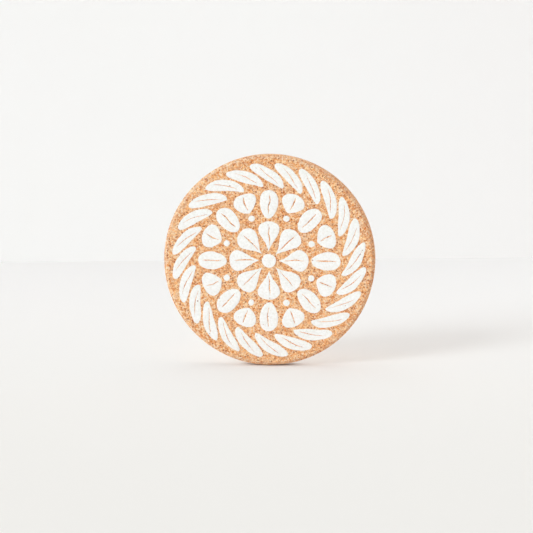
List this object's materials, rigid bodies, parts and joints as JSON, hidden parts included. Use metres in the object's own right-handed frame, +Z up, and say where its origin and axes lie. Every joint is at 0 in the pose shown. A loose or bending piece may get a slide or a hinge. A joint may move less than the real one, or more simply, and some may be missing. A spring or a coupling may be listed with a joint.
{
  "type": "cork coaster",
  "caption": "Round cork coaster with bevelled edges and a white printed rosette on its face, for a cup or glass to stand on.",
  "frame": {"origin": "where the rim meets the table, midway through the thickness, with the coaster standing on its rim as pictured", "axes": "+Z up the face, +X to the right seen from the front, +Y from the printed face to the plain back"},
  "size_m": [0.1, 0.01, 0.0999],
  "materials": {
    "cork": "matt fine-grained agglomerated cork, tan with light and dark brown grains",
    "ink": "matt white printing ink, laid on thinly enough for the grain of the cork to show through as relief"
  },
  "bodies": {
    "root": {"cork_disc": "cork", "print_centre_dot": "ink", "print_petal_1": "ink", "print_petal_2": "ink", "print_petal_3": "ink", "print_petal_4": "ink", "print_petal_5": "ink", "print_petal_6": "ink", "print_petal_7": "ink", "print_petal_8": "ink", "print_bead_1": "ink", "print_bead_2": "ink", "print_bead_3": "ink", "print_bead_4": "ink", "print_bead_5": "ink", "print_bead_6": "ink", "print_bead_7": "ink", "print_bead_8": "ink", "print_bud_1": "ink", "print_bud_2": "ink", "print_bud_3": "ink", "print_bud_4": "ink", "print_bud_5": "ink", "print_bud_6": "ink", "print_bud_7": "ink", "print_bud_8": "ink", "print_seed_1": "ink", "print_seed_2": "ink", "print_seed_3": "ink", "print_seed_4": "ink", "print_seed_5": "ink", "print_seed_6": "ink", "print_seed_7": "ink", "print_seed_8": "ink", "print_wreath_leaf_1": "ink", "print_wreath_leaf_2": "ink", "print_wreath_leaf_3": "ink", "print_wreath_leaf_4": "ink", "print_wreath_leaf_5": "ink", "print_wreath_leaf_6": "ink", "print_wreath_leaf_7": "ink", "print_wreath_leaf_8": "ink", "print_wreath_leaf_9": "ink", "print_wreath_leaf_10": "ink", "print_wreath_leaf_11": "ink", "print_wreath_leaf_12": "ink", "print_wreath_leaf_13": "ink", "print_wreath_leaf_14": "ink", "print_wreath_leaf_15": "ink", "print_wreath_leaf_16": "ink", "print_wreath_leaf_17": "ink", "print_wreath_leaf_18": "ink", "print_wreath_leaf_19": "ink", "print_wreath_leaf_20": "ink", "print_wreath_leaf_21": "ink", "print_wreath_leaf_22": "ink", "print_wreath_leaf_23": "ink", "print_wreath_leaf_24": "ink"}
  },
  "joints": []
}
